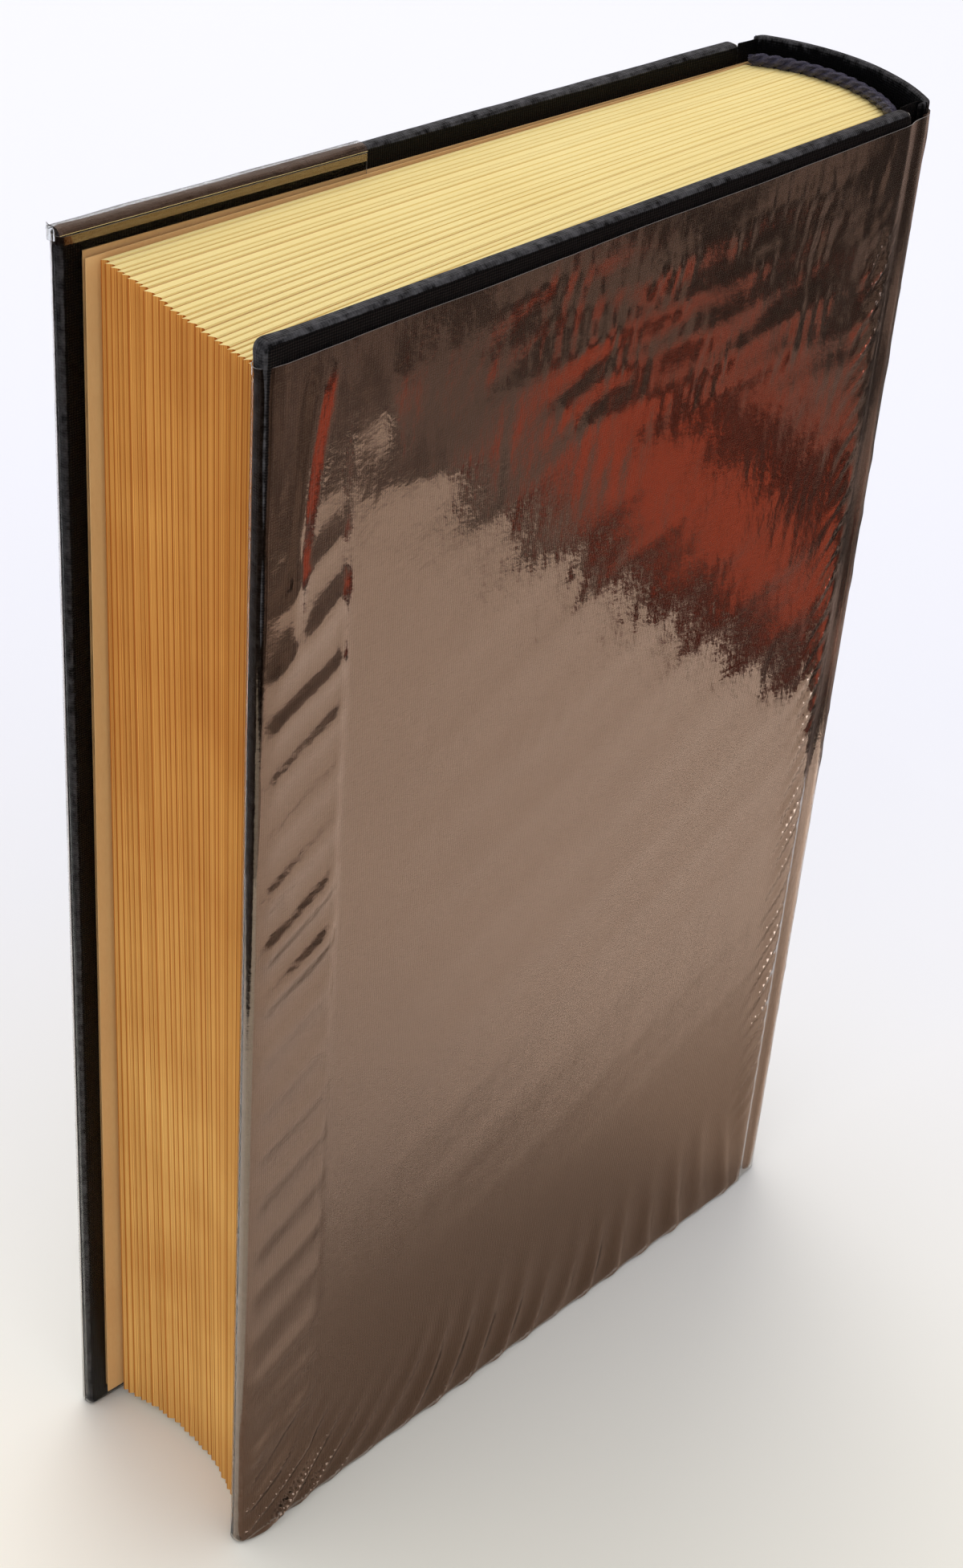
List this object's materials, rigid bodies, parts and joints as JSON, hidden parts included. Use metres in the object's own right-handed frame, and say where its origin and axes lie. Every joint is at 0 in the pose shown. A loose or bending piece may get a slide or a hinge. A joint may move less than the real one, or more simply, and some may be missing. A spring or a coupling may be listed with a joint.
{
  "type": "hardback book",
  "caption": "Thick hardback book in plain black cloth with a rounded hollow spine and a clear film jacket, standing upright; both covers open on hinges.",
  "frame": {"origin": "middle of the footprint, on the table", "axes": "+Z from tail to head, +X from spine to fore-edge, +Y from front cover to back cover"},
  "size_m": [0.1335, 0.0408, 0.2122],
  "materials": {
    "leaves": "matte cream book paper, darker at the fore-edge",
    "endpaper": "matte cream paper",
    "gauze": "open-weave cotton gauze",
    "lining_paper": "brown kraft paper",
    "band_thread": "twisted dark blue-black thread",
    "card": "thin grey card",
    "book_cloth": "fine plain-weave black book cloth",
    "greyboard": "raw greyboard",
    "clear_film": "clear glossy film, lightly wrinkled"
  },
  "bodies": {
    "block": {"text_block": "leaves", "front_flyleaf": "endpaper", "back_flyleaf": "endpaper", "spine_gauze": "gauze", "spine_lining": "lining_paper", "head_band": "band_thread", "tail_band": "band_thread", "spine_stiffener": "card", "spine_cloth": "book_cloth", "jacket_spine": "clear_film"},
    "front_cover": {"front_board": "greyboard", "front_cover_cloth": "book_cloth", "front_pastedown": "endpaper", "jacket_front": "clear_film"},
    "back_cover": {"back_board": "greyboard", "back_cover_cloth": "book_cloth", "back_pastedown": "endpaper", "jacket_back": "clear_film"}
  },
  "joints": [
    {"name": "front_cover_hinge", "type": "hinge", "parent": "block", "child": "front_cover", "pos_m": [-0.05865, -0.01531, 0.106], "axis": [0, 0, -1], "range_deg": [0, 175]},
    {"name": "back_cover_hinge", "type": "hinge", "parent": "block", "child": "back_cover", "pos_m": [-0.05865, 0.02089, 0.106], "axis": [0, 0, 1], "range_deg": [0, 175]}
  ]
}
